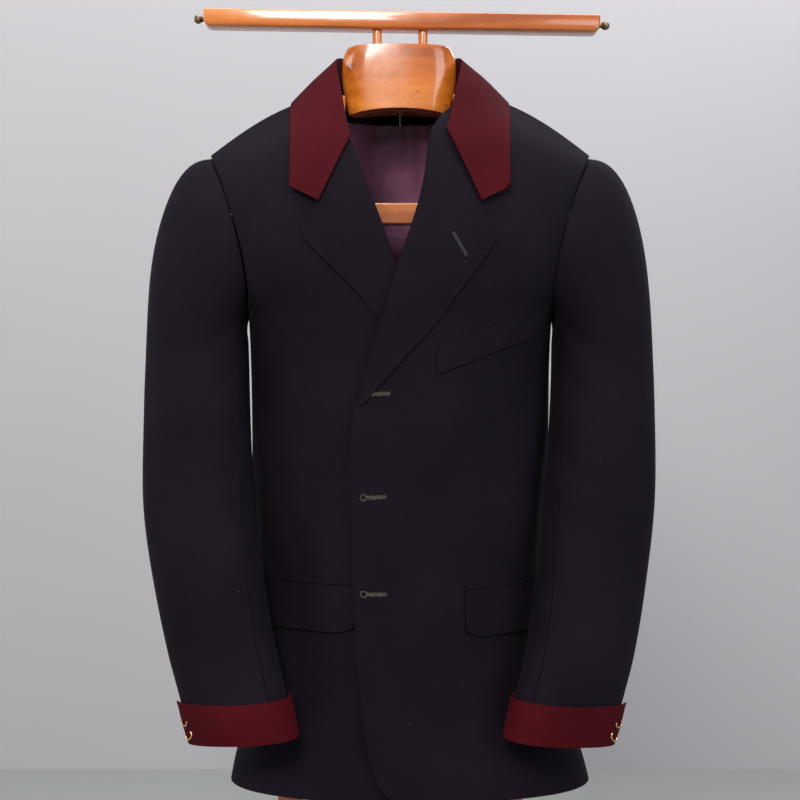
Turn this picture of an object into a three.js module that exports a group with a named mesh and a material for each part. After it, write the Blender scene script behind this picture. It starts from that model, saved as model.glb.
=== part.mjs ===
// A hunting coat of dark navy wool with a maroon collar and cuffs, hung unbuttoned on a wooden valet stand.
// Millimetres, +Z up. The coat faces -Y and its wearer's left is +X.
import * as THREE from "three";

// Driving sizes
const CLOTH = 1.6;
const SEAM = 0.2;
const SIDE_SEAM = 0.4;
const ARMPIT_Z = 843;
const SLEEVE_TOP_Z = 812;
const HEM_Z = 327;
const LAP_LIFT = 6;
const LAPEL_LIFT = 2.6;
const POST_X = 124;
const POST_SIDE = 28;
const POST_Y = 6;
const BAR_LENGTH = 448;
const BAR_HEIGHT = 19.5;
const BAR_DEPTH = 25;
const BAR_Z = 1179;

const vec = (x, y, z) => new THREE.Vector3(x, y, z);

// A table is a line of column names and a row of numbers for each section.
function table(columns, rows) {
  const names = columns.split(" ");
  return rows.map((row) => Object.fromEntries(names.map((name, i) => [name, row[i]])));
}

// Reads every column of a table at one value of its first column, with a smooth curve through the rows.
function readTable(rows, at) {
  const names = Object.keys(rows[0]);
  const key = names[0];
  const rising = rows[rows.length - 1][key] > rows[0][key];
  let i = 0;
  while (i < rows.length - 2 && (rising ? at > rows[i + 1][key] : at < rows[i + 1][key])) i++;
  const near = [i - 1, i, i + 1, i + 2].map((k) => rows[Math.min(Math.max(k, 0), rows.length - 1)]);
  const [before, a, b, after] = near;
  const t = THREE.MathUtils.clamp((at - a[key]) / (b[key] - a[key]), 0, 1);
  const found = {};
  for (const name of names) {
    const step = b[key] - a[key];
    const slopeA = b[key] === before[key] ? 0 : ((b[name] - before[name]) / (b[key] - before[key])) * step;
    const slopeB = after[key] === a[key] ? 0 : ((after[name] - a[name]) / (after[key] - a[key])) * step;
    const t2 = t * t;
    const t3 = t2 * t;
    const curve = (2 * t3 - 3 * t2 + 1) * a[name] + (t3 - 2 * t2 + t) * slopeA;
    found[name] = curve + (3 * t2 - 2 * t3) * b[name] + (t3 - t2) * slopeB;
  }
  return found;
}

// Body rings: half width, front depth, back depth, sideways shift and squareness at each height.
const BODY = table("z half front back shift square side", [
  [325, 202, 104, 100, 11, 2.4, 0],
  [350, 197, 103, 97, 10, 2.25, 8],
  [372, 190, 102, 94, 9, 2.1, 18],
  [400, 178, 101, 92, 5, 2, 29],
  [440, 174, 100, 91, 3, 1.95, 38],
  [490, 172, 99, 90, 1, 1.9, 42],
  [540, 172, 98, 89, 0, 1.88, 45],
  [590, 172, 98, 89, -1, 1.93, 45],
  [640, 171, 98, 90, -1, 2.1, 45],
  [700, 171.5, 99, 92, 0, 2.15, 42],
  [780, 171.6, 101, 95, 0, 2.15, 31],
  [812, 168.4, 101.5, 95.5, 0, 2.25, 12],
  [843, 171, 102, 96, 0, 2.35, 0],
]);

// The opening edge of each front, as x and y above the armpits up to the neck point.
const EDGE_UPPER = table("z x y", [
  [843, -18, -108.5],
  [891, -3, -108.5],
  [933, 11, -106],
  [957, 19, -102],
  [982, 25, -96],
  [1016, 29, -87],
  [1050, 35, -75],
  [1074, 56, -50],
  [1097, 84, -6],
]);
const EDGE_UNDER = table("z x y", [
  [843, 14, -102],
  [891, -3, -102],
  [933, -17, -100.5],
  [957, -26, -97.5],
  [978, -35, -94],
  [1015, -47, -83],
  [1036, -56, -73],
  [1068, -69, -45],
  [1095, -84, -6],
]);

// The front edge below the armpits, with the rounded lower corner.
const HANG_UPPER = table("z x", [
  [325, 4],
  [331, -11],
  [341, -20],
  [354, -26],
  [380, -34],
  [425, -40],
  [500, -47],
  [600, -51],
  [695, -53],
  [735, -52],
  [752, -46],
  [790, -34],
  [843, -18],
]);
const HANG_UNDER = table("z x", [
  [325, 6],
  [331, 16],
  [341, 23],
  [354, 27],
  [380, 30],
  [500, 33],
  [735, 34],
  [790, 26],
  [843, 14],
]);

// The armhole, from the shoulder (0) over the front (90) and the armpit (180) to the back (270).
// m is the slant of the seam, o the way in which the sleeve sets off from it.
const ARMHOLE = table("turn x y z mx my mz ox oy oz", [
  [0, 213, -8, 1025, 0.3, 0, 0.95, 57, 0, 8],
  [28, 205, -33, 1007, 0.3, -0.4, 0.85, 50, -10, 3],
  [55, 190, -54, 973, 0.3, -0.8, 0.5, 36, -10, -8],
  [90, 173, -70, 917, 0.3, -0.95, 0, 22, -10, -12],
  [125, 166, -62, 873, 0.2, -1, -0.2, 14, -8, -12],
  [155, 168, -34, 851, 0.1, -1, -0.3, 8, -3, -12],
  [180, 171, 0, 843, 0, 0, -1, 6, 0, -12],
  [205, 170, 32, 851, 0.1, 1, -0.3, 8, 3, -12],
  [235, 170, 56, 875, 0.2, 1, -0.2, 14, 8, -12],
  [270, 178, 60, 922, 0.3, 0.95, 0, 22, 8, -12],
  [305, 193, 44, 978, 0.3, 0.8, 0.5, 36, 10, -8],
  [332, 206, 20, 1010, 0.3, 0.4, 0.85, 50, 10, 3],
  [360, 213, -8, 1025, 0.3, 0, 0.95, 57, 0, 8],
]);

// Sleeve rings: distance out and forward of the centre, half width, half depth and turn towards the front.
const SLEEVE_RIGHT = table("z x y half deep turn", [
  [812, 226.9, -10, 57, 58, 0],
  [750, 227, -14, 59, 61, 0],
  [690, 226, -20, 60.5, 61, 2],
  [640, 223, -28, 62, 59, 5],
  [590, 216.5, -39, 61.5, 54, 8],
  [540, 206, -53, 61, 48, 12],
  [490, 195.5, -62, 61, 44, 16],
  [440, 182, -76, 61, 38, 20],
  [400, 171, -88, 60, 34, 22],
  [380, 165, -93, 59.5, 32, 22],
]);
const SLEEVE_LEFT = table("z x y half deep turn", [
  [812, 226, -12, 56, 59, 3],
  [750, 226, -16, 57.5, 61, 4],
  [690, 224, -22, 59.5, 60, 6],
  [640, 219.5, -30, 62, 58, 8],
  [590, 214, -41, 61, 55, 10],
  [540, 205.5, -54, 60.5, 50, 13],
  [490, 197, -67, 60.5, 45, 16],
  [440, 183.5, -82, 60.5, 39, 19],
  [400, 173, -92, 60, 35, 21],
  [380, 167, -96, 59.5, 33, 22],
]);

// Builds a closed solid from a grid of surface points and its thickness, laid in behind the surface.
// facing(point) gives a rough outward way; slant(i, j) may give a seam's own slant.
function wall(grid, thickness, facing, slant = () => null) {
  const rows = grid.length;
  const cols = grid[0].length;
  const inner = grid.map((row, i) =>
    row.map((p, j) => {
      const along = grid[Math.min(i + 1, rows - 1)][j].clone().sub(grid[Math.max(i - 1, 0)][j]);
      const across = row[Math.min(j + 1, cols - 1)].clone().sub(row[Math.max(j - 1, 0)]);
      const normal = along.cross(across).normalize();
      if (normal.dot(facing(p)) < 0) normal.negate();
      const lean = slant(i, j);
      const way = lean ? lean.clone().normalize() : normal;
      return p.clone().addScaledVector(way, -thickness);
    }),
  );
  return shell(grid, inner);
}

// Joins two grids of the same size into one closed solid.
function shell(outer, inner) {
  const rows = outer.length;
  const cols = outer[0].length;
  const points = [...outer.flat(), ...inner.flat()];
  const at = (layer, i, j) => layer * rows * cols + i * cols + j;
  const faces = [];
  const quad = (a, b, c, d) => faces.push(a, b, c, a, c, d);
  for (let i = 0; i < rows - 1; i++) {
    for (let j = 0; j < cols - 1; j++) {
      quad(at(0, i, j), at(0, i, j + 1), at(0, i + 1, j + 1), at(0, i + 1, j));
      quad(at(1, i, j), at(1, i + 1, j), at(1, i + 1, j + 1), at(1, i, j + 1));
    }
  }
  for (let i = 0; i < rows - 1; i++) {
    quad(at(0, i, 0), at(0, i + 1, 0), at(1, i + 1, 0), at(1, i, 0));
    quad(at(0, i + 1, cols - 1), at(0, i, cols - 1), at(1, i, cols - 1), at(1, i + 1, cols - 1));
  }
  for (let j = 0; j < cols - 1; j++) {
    quad(at(0, 0, j + 1), at(0, 0, j), at(1, 0, j), at(1, 0, j + 1));
    quad(at(0, rows - 1, j), at(0, rows - 1, j + 1), at(1, rows - 1, j + 1), at(1, rows - 1, j));
  }
  return solid(points, faces);
}

// Turns points and faces into a geometry whose faces point out.
function solid(points, faces) {
  let volume = 0;
  for (let k = 0; k < faces.length; k += 3) {
    const [a, b, c] = [points[faces[k]], points[faces[k + 1]], points[faces[k + 2]]];
    volume += a.dot(b.clone().cross(c));
  }
  const swap = [0, 1, -1];
  const turned = volume < 0 ? faces.map((_, k) => faces[k + swap[k % 3]]) : faces;
  const geometry = new THREE.BufferGeometry();
  geometry.setAttribute("position", new THREE.Float32BufferAttribute(points.flatMap((p) => p.toArray()), 3));
  geometry.setIndex(turned);
  geometry.computeVertexNormals();
  return geometry;
}

// Draws a panel's borders in by the seam allowance, on the sides named n, s, e and w (first row is s).
function trimmed(grid, sides, by = SEAM) {
  const rows = grid.length;
  const cols = grid[0].length;
  const moved = grid.map((row) => row.map((p) => p.clone()));
  const pull = (i, j, i2, j2) => {
    const way = grid[i2][j2].clone().sub(grid[i][j]).normalize();
    moved[i][j].addScaledVector(way, by);
  };
  for (let j = 0; j < cols; j++) {
    if (sides.includes("s")) pull(0, j, 1, j);
    if (sides.includes("n")) pull(rows - 1, j, rows - 2, j);
  }
  for (let i = 0; i < rows; i++) {
    if (sides.includes("w")) pull(i, 0, i, 1);
    if (sides.includes("e")) pull(i, cols - 1, i, cols - 2);
  }
  return moved;
}

function spread(from, to, steps) {
  return Array.from({ length: steps + 1 }, (_, k) => from + ((to - from) * k) / steps);
}

// The depth of the body ring at one height and sideways place, in front (-1) or behind (+1).
// A body point by its angle round the ring: 0 at the middle of the face, 90 at the side seam.
function ringPoint(z, degrees, side, face) {
  const ring = readTable(BODY, z);
  const angle = THREE.MathUtils.degToRad(degrees);
  const deep = (face < 0 ? ring.front : ring.back) - face * ring.side;
  const sine = Math.sin(angle);
  const reach = ring.half * Math.pow(Math.abs(sine), 2 / ring.square) * Math.sign(sine);
  const x = ring.shift + side * reach;
  return vec(x, ring.side + face * deep * Math.pow(Math.max(Math.cos(angle), 0), 2 / ring.square), z);
}

// The angle on the ring that reaches a sideways place.
function ringAngle(z, x, side) {
  const ring = readTable(BODY, z);
  const share = (side * (x - ring.shift)) / ring.half;
  const sine = Math.sign(share) * Math.pow(Math.min(Math.abs(share), 1), ring.square / 2);
  return THREE.MathUtils.radToDeg(Math.asin(sine));
}

// Blends four edge curves into a patch: bottom and top run from the opening to the armhole.
function patch(bottom, top, open, arm) {
  const rows = open.length;
  const cols = bottom.length;
  return open.map((_, i) =>
    bottom.map((__, j) => {
      const s = j / (cols - 1);
      const t = i / (rows - 1);
      const p = vec(0, 0, 0);
      p.addScaledVector(bottom[j], 1 - t).addScaledVector(top[j], t);
      p.addScaledVector(open[i], 1 - s).addScaledVector(arm[i], s);
      p.addScaledVector(bottom[0], -(1 - s) * (1 - t)).addScaledVector(bottom[cols - 1], -s * (1 - t));
      p.addScaledVector(top[0], -(1 - s) * t).addScaledVector(top[cols - 1], -s * t);
      return p;
    }),
  );
}

const armhole = (turn, side) => {
  const row = readTable(ARMHOLE, turn);
  return {
    at: vec(side * row.x, row.y, row.z),
    slant: vec(side * row.mx, row.my, row.mz),
    off: vec(side * row.ox, row.oy, row.oz),
  };
};

const HANG_ROWS = 13;
const CHEST_ROWS = 9;
const PANEL_COLS = 15;

// How far a front is lifted so that the upper one clears the one below it.
const lapLift = (x) => LAP_LIFT * (1 - THREE.MathUtils.smoothstep(x, 48, 100));

// One front, from the hem to the shoulder seam.
const HANG_SHARES = [0, 0.012, 0.03, 0.055, 0.1, 0.17, ...spread(0.26, 1, HANG_ROWS - 6)];
function frontGrid(side) {
  const upper = side > 0;
  const hang = upper ? HANG_UPPER : HANG_UNDER;
  const edge = upper ? EDGE_UPPER : EDGE_UNDER;
  const lifted = (p) => (upper ? p.clone().add(vec(0, -lapLift(p.x), 0)) : p);
  const low = HANG_SHARES.map((share) => {
    const z = 325 + (ARMPIT_Z - 325) * share;
    const start = ringAngle(z, readTable(hang, z).x, side);
    return spread(start, 90, PANEL_COLS).map((angle) => {
      const p = ringPoint(z, angle, side, -1);
      p.z += (HEM_Z - 325) * (1 - share) * THREE.MathUtils.smoothstep(Math.abs(p.x), 20, 150);
      return lifted(p);
    });
  });
  const bottom = low[low.length - 1];
  const open = spread(0, 1, CHEST_ROWS).map((t) => {
    const z = edge[0].z + (edge[edge.length - 1].z - edge[0].z) * t;
    const row = readTable(edge, z);
    return vec(row.x, row.y, z);
  });
  open[0].copy(bottom[0]);
  const arm = spread(180, 0, CHEST_ROWS).map((turn) => armhole(turn, side).at);
  arm[0].copy(bottom[PANEL_COLS]);
  const neck = open[CHEST_ROWS];
  const top = spread(0, 1, PANEL_COLS).map((s) => {
    const p = neck.clone().lerp(arm[CHEST_ROWS], s);
    p.z += 9 * Math.sin(Math.PI * s);
    return p;
  });
  return [...low, ...patch(bottom, top, open, arm).slice(1)];
}

// One back, from the hem to the shoulder seam.
const BACK_COLS = 11;
function backGrid(side) {
  const low = HANG_SHARES.map((share) => {
    const z = 325 + (ARMPIT_Z - 325) * share;
    return spread(0, 90, BACK_COLS).map((angle) => ringPoint(z, angle, side, 1));
  });
  const bottom = low[low.length - 1];
  const open = spread(0, 1, CHEST_ROWS).map((t) => {
    const z = ARMPIT_Z + (1092 - ARMPIT_Z) * t;
    return vec(0, 96 - 52 * t * t, z);
  });
  open[0].copy(bottom[0]);
  const arm = spread(180, 360, CHEST_ROWS).map((turn) => armhole(turn, side).at);
  arm[0].copy(bottom[BACK_COLS]);
  const neck = vec(side * 84, -6, side > 0 ? 1097 : 1095);
  const corner = open[CHEST_ROWS];
  const top = spread(0, 1, BACK_COLS).map((s) => {
    const split = 3 / BACK_COLS;
    if (s <= split) {
      const u = s / split;
      return corner.clone().lerp(neck, u).add(vec(0, 14 * Math.sin(Math.PI * u), 0));
    }
    const u = (s - split) / (1 - split);
    const p = neck.clone().lerp(arm[CHEST_ROWS], u);
    p.z += 9 * Math.sin(Math.PI * u);
    return p;
  });
  return [...low, ...patch(bottom, top, open, arm).slice(1)];
}

// The depth of a panel at a sideways place and height, and its outward way there.
function onPanel(grid, x, z, lift) {
  let best = null;
  for (let i = 0; i < grid.length - 1; i++) {
    for (let j = 0; j < grid[0].length - 1; j++) {
      const [a, b, c, d] = [grid[i][j], grid[i][j + 1], grid[i + 1][j + 1], grid[i + 1][j]];
      for (const [p, q, r] of [[a, b, c], [a, c, d]]) {
        const area = (q.x - p.x) * (r.z - p.z) - (r.x - p.x) * (q.z - p.z);
        if (Math.abs(area) < 1e-6) continue;
        const u = ((x - p.x) * (r.z - p.z) - (r.x - p.x) * (z - p.z)) / area;
        const v = ((q.x - p.x) * (z - p.z) - (x - p.x) * (q.z - p.z)) / area;
        const miss = Math.max(-u, -v, u + v - 1, 0);
        if (best && miss >= best.miss) continue;
        best = { miss, p, q, r, u, v };
      }
      if (best && best.miss === 0) break;
    }
    if (best && best.miss === 0) break;
  }
  const { p, q, r, u, v } = best;
  const normal = q.clone().sub(p).cross(r.clone().sub(p)).normalize();
  if (normal.y > 0) normal.negate();
  const y = p.y + u * (q.y - p.y) + v * (r.y - p.y);
  return vec(x, y, z).addScaledVector(normal, lift);
}

// Samples a smooth curve through points at even steps.
function curvePoints(points, steps) {
  return new THREE.CatmullRomCurve3(points, false, "centripetal").getSpacedPoints(steps);
}
const flat = (rows, x, z) => rows.map((row) => vec(row[x], 0, row[z]));

// Lapels: the roll line and the outer edge, from the lower end up, then the top edge from roll to tip.
const LAPEL_ROLL_LEFT = table("z x", [
  [747, -43], [790, -33], [843, -17], [891, -2],
  [933, 12], [982, 26], [1016, 30], [1044, 34],
]);
const LAPEL_EDGE_LEFT = table("z x", [
  [745, -38], [757, -29], [773, -14], [800, 9],
  [833, 40], [863, 60], [895, 86], [919, 101],
]);
const LAPEL_TOP_LEFT = table("x z", [[34, 1044], [50, 1022], [68, 988], [84, 954], [93, 938], [101, 919]]);
const LAPEL_ROLL_RIGHT = table("z x", [
  [747, 31], [790, 25], [843, 13], [891, -4],
  [933, -18], [978, -36], [1015, -49], [1029, -56],
]);
const LAPEL_EDGE_RIGHT = table("z x", [
  [745, 26], [765, 18], [800, 2], [834, -22],
  [862, -43], [884, -65], [921, -101], [932, -105],
]);
const LAPEL_TOP_RIGHT = table("x z", [[-56, 1029], [-72, 994], [-88, 959], [-96, 945], [-105, 932]]);

const LAPEL_ROWS = 15;
const LAPEL_COLS = 6;
function lapelGrid(panel, roll, edge, top, lift) {
  const open = curvePoints(flat(roll, "x", "z"), LAPEL_ROWS);
  const arm = curvePoints(flat(edge, "x", "z"), LAPEL_ROWS);
  const high = curvePoints(flat(top, "x", "z"), LAPEL_COLS);
  const low = spread(0, 1, LAPEL_COLS).map((s) => open[0].clone().lerp(arm[0], s));
  high[0].copy(open[LAPEL_ROWS]);
  high[LAPEL_COLS].copy(arm[LAPEL_ROWS]);
  return patch(low, high, open, arm).map((row) => row.map((p) => onPanel(panel, p.x, p.z, lift)));
}

// Sleeves
const SLEEVE_SQUARE = 2.25;
const SLEEVE_END_Z = 386;
const FOREARM_SEAM = 148;
const HINDARM_SEAM = -60;
const CUFF_SLOPE = 14;

function sleevePoint(side, z, turn, lift = 0) {
  const ring = readTable(side > 0 ? SLEEVE_LEFT : SLEEVE_RIGHT, z);
  const angle = THREE.MathUtils.degToRad(turn);
  const lean = THREE.MathUtils.degToRad(ring.turn);
  const power = 2 / SLEEVE_SQUARE;
  const out = Math.sign(Math.cos(angle)) * Math.pow(Math.abs(Math.cos(angle)), power) * (ring.half + lift);
  const fore = Math.sign(Math.sin(angle)) * Math.pow(Math.abs(Math.sin(angle)), power) * (ring.deep + lift);
  const rise = (CUFF_SLOPE * (1 - Math.cos(angle)) * THREE.MathUtils.smoothstep(500 - z, 0, 100)) / 2;
  return vec(
    side * (ring.x + out * Math.cos(lean) + fore * Math.sin(lean)),
    ring.y + out * Math.sin(lean) - fore * Math.cos(lean),
    z + rise,
  );
}

function sleeveGrid(side, from, to, cols) {
  const heads = [0, 0.1, 0.22, 0.38, 0.58, 0.8, 1];
  const turns = spread(from, to, cols);
  const head = heads.map((t) =>
    turns.map((turn) => {
      const seam = armhole((turn + 360) % 360, side);
      const end = sleevePoint(side, SLEEVE_TOP_Z, turn);
      const start = seam.at.clone().addScaledVector(seam.off.clone().normalize(), 0.8);
      const first = seam.at.clone().add(seam.off);
      const second = end.clone().add(vec(0, 0, (seam.at.z - SLEEVE_TOP_Z) * 0.45));
      return new THREE.CubicBezierCurve3(start, first, second, end).getPoint(t);
    }),
  );
  const arm = spread(SLEEVE_TOP_Z, SLEEVE_END_Z, 10).slice(1);
  return [...head, ...arm.map((z) => turns.map((turn) => sleevePoint(side, z, turn)))];
}

// A seam slant is shared with the armhole's panels except round the armpit.
const seamSlant = (turn, side) => {
  const at = (turn + 360) % 360;
  return at > 112 && at < 248 ? null : armhole(at, side).slant;
};

// Cuffs are turned back over the sleeve's end and open beside the hindarm.
const CUFF_HEIGHT = 42;
const CUFF_CLOTH = 2.4;
const CUFF_FROM = 8;
const CUFF_TO = 350;
function cuffGrid(side) {
  return spread(0, 1, 5).map((t) =>
    spread(0, 1, 26).map((s) => {
      const corner = Math.max(0, 1 - Math.min(s, 1 - s) * 26);
      const top = CUFF_HEIGHT - 9 * corner * corner;
      const turn = CUFF_FROM + (CUFF_TO - CUFF_FROM) * s;
      const z = SLEEVE_END_Z - 2 + top * t;
      return sleevePoint(side, z, turn, 1.4 + CUFF_CLOTH + 0.6 * Math.sin(Math.PI * t));
    }),
  );
}

// Collar sections from the middle of the back round to the front end:
// e is the leaf's edge, m its middle, f the fold and n the neck seam below it.
const COLLAR = table("part ex ey ez mx my mz fx fy fz nx ny nz", [
  [0, 0, 62, 1090, 0, 58, 1117, 0, 50, 1141, 0, 44, 1098],
  [0.2, 44, 60, 1090, 40, 54, 1117, 34, 46, 1141, 36, 42, 1099],
  [0.42, 92, 42, 1092, 74, 38, 1118, 59, 30, 1141, 61, 28, 1105],
  [0.6, 122, 6, 1091, 97, 4, 1116, 71, 2, 1137, 75, -1, 1108],
  [0.72, 122, -26, 1071, 98, -32, 1093, 66, -30, 1114, 69, -28, 1096],
  [0.84, 119, -52, 1034, 95, -62, 1040, 59, -58, 1077, 62, -54, 1064],
  [0.93, 117, -71, 1000, 90, -78, 993, 54, -74, 1052, 58, -67, 1048],
  [1, 117, -81, 976, 86, -88, 960, 50, -82, 1042, 55, -75, 1041],
]);
const COLLAR_STEPS = 13;
function collarGrid(panels) {
  const side = (part, way) => {
    const row = readTable(COLLAR, part);
    const right = way < 0 ? -1 : 1;
    const wide = way < 0 ? 1 + 0.06 * part : 1;
    const rest = (p) => {
      if (part < 0.66) return p;
      const under = onPanel(panels[way < 0 ? 0 : 1], p.x, p.z, 9.4);
      return vec(p.x, Math.min(p.y, under.y), p.z);
    };
    const drop = way < 0 ? -8 * THREE.MathUtils.smoothstep(part, 0.6, 1) : 0;
    const e = rest(vec(right * row.ex, row.ey, row.ez));
    const m = rest(vec(right * row.mx, row.my, row.mz));
    const f = vec(right * row.fx * wide, row.fy, row.fz + drop);
    const n = vec(right * row.nx * wide, row.ny - 0.8 * part, row.nz + drop);
    const nearLeaf = f.clone().lerp(m, 0.12);
    const nearStand = f.clone().lerp(n, 0.18).lerp(nearLeaf, -0.12);
    const q = e.clone().lerp(m, 0.5);
    const mid = f.clone().lerp(m, 0.5);
    return [e, rest(q), m, part > 0.85 ? rest(mid) : mid, nearLeaf, f, nearStand, f.clone().lerp(n, 0.6), n];
  };
  const parts = spread(0, 1, COLLAR_STEPS);
  const rightHalf = parts.slice(1).reverse().map((part) => side(part, -1));
  return [...rightHalf, ...parts.map((part) => side(part, 1))];
}

// Hip flaps and jets, laid on the fronts by the ring's angle.
const FLAP_TOP = 551;
const FLAP_DROP = 50;
function onRing(side, z, angle, lift) {
  const p = ringPoint(z, angle, side, -1);
  const ring = readTable(BODY, z);
  const deep = ring.front + ring.side;
  const normal = vec((p.x - ring.shift) / ring.half ** 2, (p.y - ring.side) / deep ** 2, 0).normalize();
  const up = side > 0 ? lapLift(p.x) : 0;
  return p.add(vec(0, -up, 0)).addScaledVector(normal, lift);
}
function stripGrid(side, fromX, toAngle, topZ, drop, slope, rows, cols, lift, round) {
  return spread(0, 1, rows).map((t) =>
    spread(0, 1, cols).map((s) => {
      const from = ringAngle(topZ, fromX, side);
      const near = Math.min(s, 1 - s) * cols;
      const cut = round * Math.max(0, 1 - near) * t;
      const z = topZ - slope * (1 - s) - (drop - cut) * t;
      return onRing(side, z, from + (toAngle - from) * s, lift);
    }),
  );
}

// The breast welt: four corners on the wearer's left front.
function weltGrid(panel) {
  const low = [vec(39, 0, 777), vec(146, 0, 820)];
  const high = [vec(40, 0, 805), vec(143, 0, 845)];
  return spread(0, 1, 2).map((t) =>
    spread(0, 1, 10).map((s) => {
      const a = low[0].clone().lerp(low[1], s);
      const p = a.lerp(high[0].clone().lerp(high[1], s), t);
      return onPanel(panel, p.x, p.z, 2.6 + 0.3 * t);
    }),
  );
}

// The back lining inside the neck, a little in front of the back.
function liningGrid(left, right) {
  return spread(0, 1, 8).map((t) =>
    spread(-1, 1, 14).map((s) => {
      const z = 850 + 222 * t;
      const half = 112 - 48 * t * t;
      const x = half * s;
      const back = onPanel(x > 0 ? left : right, x, z, 5.5);
      return back.add(vec(0, -3 * Math.exp(-Math.pow((x - 12) / 7, 2)), 0));
    }),
  );
}

// Materials
function finish(color, roughness, metalness = 0) {
  return new THREE.MeshStandardMaterial({ color, roughness, metalness });
}
const navyWool = finish(0x1c1920, 0.85);
const maroonCloth = finish(0x571420, 0.8);
const satin = finish(0x2c1f33, 0.4);
const varnishedWood = finish(0xa85c22, 0.22);
const agedBrass = finish(0x5b4c3a, 0.35, 0.9);
const giltWire = finish(0xc99a5c, 0.25, 0.9);
const horn = finish(0x18151a, 0.35);

const root = new THREE.Group();
const coat = new THREE.Group();
const stand = new THREE.Group();
root.add(coat, stand);

function add(group, name, geometry, material) {
  const mesh = new THREE.Mesh(geometry, material);
  mesh.name = name;
  group.add(mesh);
  return mesh;
}

const forward = () => vec(0, -1, 0);
const backward = () => vec(0, 1, 0);
const fromAxis = (p) => vec(p.x, p.y, 0);
const SHOULDER_SLANT = vec(0, 0, 1);
const SIDES = [["left", 1], ["right", -1]];
const panels = {};
const backs = {};
const lastRow = HANG_ROWS + CHEST_ROWS;

for (const [name, side] of SIDES) {
  const front = frontGrid(side);
  panels[name] = front;
  const armTurn = (i) => 180 - (180 * (i - (front.length - 1 - CHEST_ROWS))) / CHEST_ROWS;
  const slantFront = (i, j) => {
    if (i === front.length - 1) return SHOULDER_SLANT;
    if (j === PANEL_COLS && i >= front.length - 1 - CHEST_ROWS) return seamSlant(armTurn(i), side);
    return null;
  };
  const trimmedFront = trimmed(trimmed(front, "n"), "e", SIDE_SEAM);
  add(coat, "front_" + name, wall(trimmedFront, CLOTH, (p) => vec(p.x * 0.4, -60, 0), slantFront), navyWool);

  const back = backGrid(side);
  backs[name] = back;
  const backTurn = (i) => 180 + (180 * (i - (back.length - 1 - CHEST_ROWS))) / CHEST_ROWS;
  const slantBack = (i, j) => {
    if (i === back.length - 1 && j > 2) return SHOULDER_SLANT;
    if (j === BACK_COLS && i >= back.length - 1 - CHEST_ROWS) return seamSlant(backTurn(i), side);
    return null;
  };
  const trimmedBack = trimmed(trimmed(back, "nw"), "e", SIDE_SEAM);
  add(coat, "back_" + name, wall(trimmedBack, CLOTH, (p) => vec(p.x * 0.4, 60, 0), slantBack), navyWool);

  const around = (grid, from, to) => {
    const cols = grid[0].length - 1;
    const centre = (p) => {
      const ring = readTable(side > 0 ? SLEEVE_LEFT : SLEEVE_RIGHT, Math.min(p.z, SLEEVE_TOP_Z));
      const inset = p.z > 850 ? 20 : 0;
      return vec(p.x - side * (ring.x - inset), p.y - ring.y, p.z > 900 ? (p.z - 880) * 0.6 : 0);
    };
    const slant = (i, j) => (i === 0 ? seamSlant(from + ((to - from) * j) / cols, side) : null);
    return wall(trimmed(grid, "we", 0.45), CLOTH, centre, slant);
  };
  const topSleeve = sleeveGrid(side, HINDARM_SEAM, FOREARM_SEAM, 13);
  const underSleeve = sleeveGrid(side, FOREARM_SEAM, 360 + HINDARM_SEAM, 11);
  add(coat, "sleeve_top_" + name, around(topSleeve, HINDARM_SEAM, FOREARM_SEAM), navyWool);
  add(coat, "sleeve_under_" + name, around(underSleeve, FOREARM_SEAM, 360 + HINDARM_SEAM), navyWool);
  const cuffCentre = (p) => {
    const ring = readTable(side > 0 ? SLEEVE_LEFT : SLEEVE_RIGHT, Math.min(p.z, SLEEVE_TOP_Z));
    return vec(p.x - side * ring.x, p.y - ring.y, 0);
  };
  add(coat, "cuff_" + name, wall(cuffGrid(side), CUFF_CLOTH, cuffCentre), maroonCloth);
}

const leftLapel = lapelGrid(panels.left, LAPEL_ROLL_LEFT, LAPEL_EDGE_LEFT, LAPEL_TOP_LEFT, LAPEL_LIFT + 0.4);
add(coat, "lapel_left", wall(leftLapel, CLOTH, forward), navyWool);
const rightLift = LAPEL_LIFT + 0.2;
const rightLapel = lapelGrid(panels.right, LAPEL_ROLL_RIGHT, LAPEL_EDGE_RIGHT, LAPEL_TOP_RIGHT, rightLift);
add(coat, "lapel_right", wall(rightLapel, CLOTH, forward), navyWool);
add(coat, "breast_welt", wall(weltGrid(panels.left), CLOTH, forward), navyWool);
const leftFlap = stripGrid(1, 69, 80, FLAP_TOP - 2, FLAP_DROP, 2, 3, 10, 2.8, 6);
add(coat, "flap_left", wall(leftFlap, CLOTH, fromAxis), navyWool);
const rightFlap = stripGrid(-1, -48, 69, FLAP_TOP, FLAP_DROP, -2, 3, 10, 2.8, 6);
add(coat, "flap_right", wall(rightFlap, CLOTH, fromAxis), navyWool);
const leftJet = stripGrid(1, 69, 80, FLAP_TOP + 3, 4, 2, 1, 10, 2, 0);
add(coat, "jet_left", wall(leftJet, 1.2, fromAxis), navyWool);
const rightJet = stripGrid(-1, -48, 69, FLAP_TOP + 5, 4, -2, 1, 10, 2, 0);
add(coat, "jet_right", wall(rightJet, 1.2, fromAxis), navyWool);
add(coat, "lining_back", wall(liningGrid(backs.left, backs.right), 1, forward), satin);
const collarFacing = (p) => vec(p.x, p.y - 20, 70);
add(coat, "collar", wall(collarGrid([panels.right, panels.left]), CLOTH, collarFacing), maroonCloth);

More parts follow.
